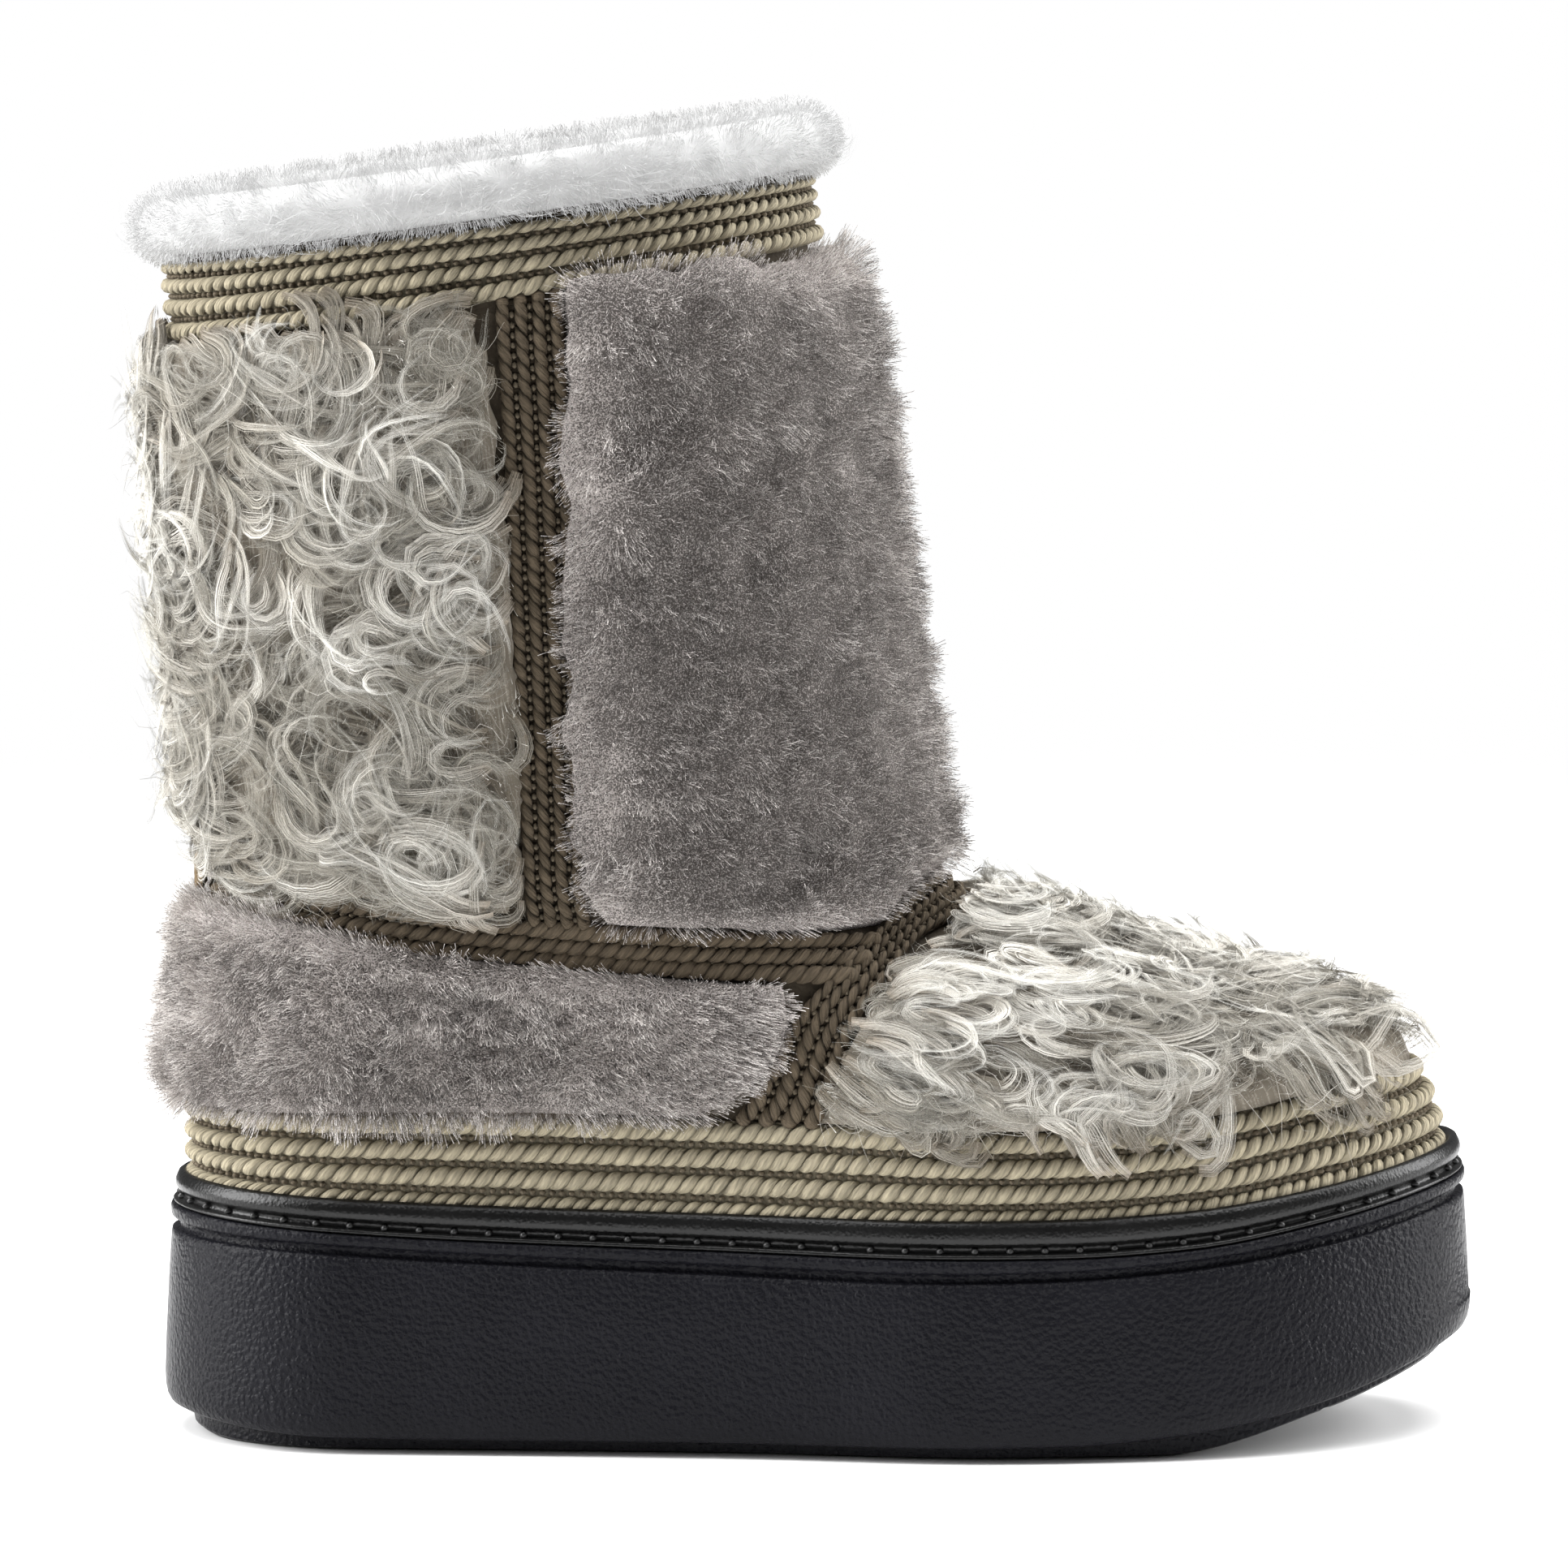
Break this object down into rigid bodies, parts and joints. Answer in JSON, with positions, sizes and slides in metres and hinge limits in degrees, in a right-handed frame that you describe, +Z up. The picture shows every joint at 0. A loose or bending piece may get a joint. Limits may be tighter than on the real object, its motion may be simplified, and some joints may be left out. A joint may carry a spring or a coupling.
{
  "type": "fur platform boot",
  "caption": "Right-foot ankle boot with a thick platform sole, fur panels, rope bands between them and a shearling cuff",
  "frame": {"origin": "On the floor plane that the sole stands on, halfway between the heel end and the toe end of the sole.", "axes": "X along the foot toward the toe, Y across the foot toward its inner side, Z up."},
  "size_m": [0.2855, 0.118, 0.2802],
  "materials": {
    "sole_rubber": "pebbled matt black rubber",
    "rand_leather": "black leather with a soft shine",
    "lining": "short wool pile",
    "upper_leather": "matt leather under the trims",
    "rope": "twisted cotton rope with stitching between rows",
    "white_fur": "dense white shearling",
    "curly_fur": "long curled fur",
    "short_fur": "short dense shearling",
    "plate_metal": "dark plate with a bare metal edge"
  },
  "bodies": {
    "root": {"outsole": "sole_rubber", "rand": "rand_leather", "insole": "lining", "upper": "upper_leather", "lower_rope_band": "rope", "ankle_rope_band": "rope", "instep_rope_strip": "rope", "side_rope_strip_outer": "rope", "side_rope_strip_inner": "rope", "collar_rope_band": "rope", "collar_cuff": "white_fur", "shaft_back_fur": "curly_fur", "shaft_front_fur": "short_fur", "heel_fur": "short_fur", "vamp_fur": "curly_fur", "back_plate": "plate_metal"}
  },
  "joints": []
}
